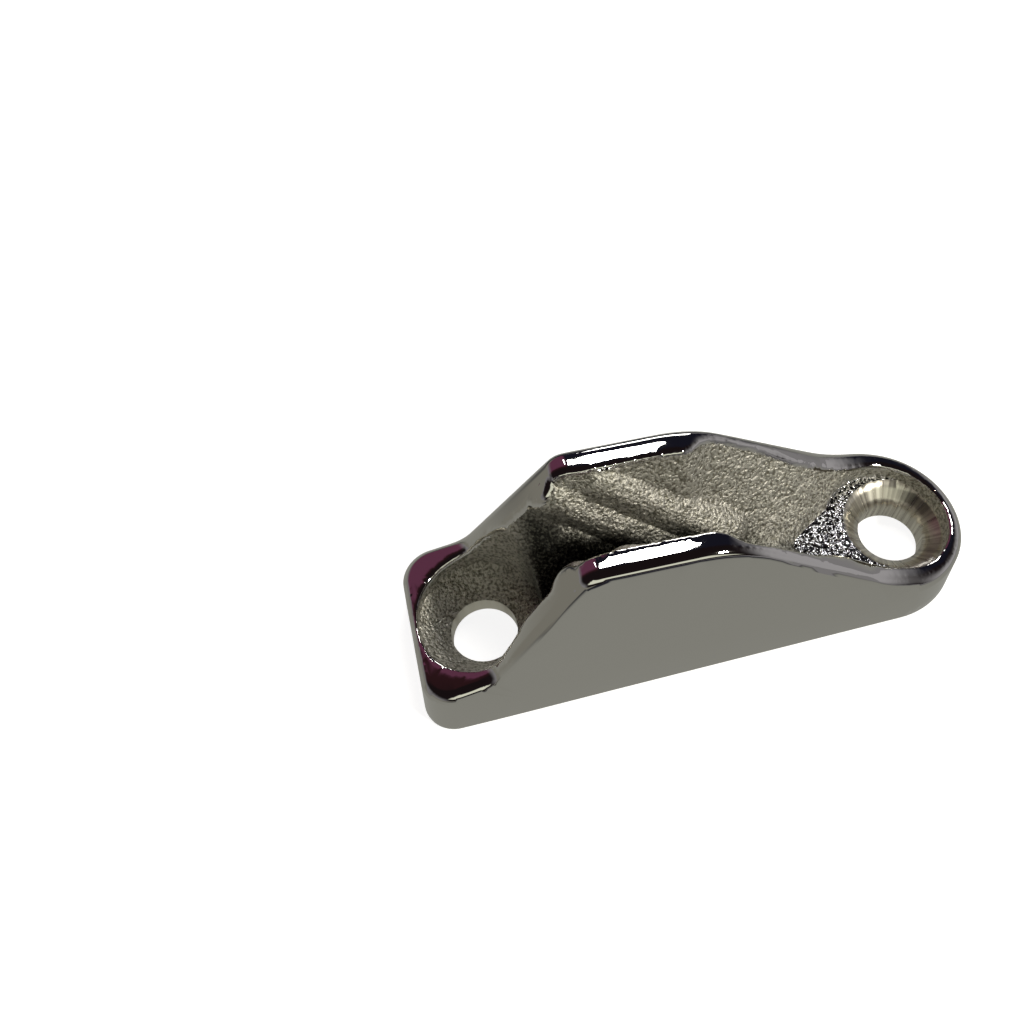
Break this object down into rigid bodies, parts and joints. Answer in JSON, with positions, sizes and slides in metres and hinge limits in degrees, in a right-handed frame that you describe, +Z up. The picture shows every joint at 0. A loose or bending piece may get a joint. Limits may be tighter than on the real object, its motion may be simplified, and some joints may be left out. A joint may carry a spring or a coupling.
{
  "type": "jam cleat",
  "caption": "Small stainless steel jam cleat with an open fluted V channel, polished rails and a countersunk screw hole at each end.",
  "frame": {"origin": "middle of the base, on the face that lies on the deck", "axes": "+X along the cleat towards the rounded end, the way the line is pulled; +Y across it; +Z up from the deck"},
  "size_m": [0.0482, 0.0148, 0.017],
  "materials": {
    "cast_steel": "polished"
  },
  "bodies": {
    "root": {"cleat_body": "cast_steel"}
  },
  "joints": []
}
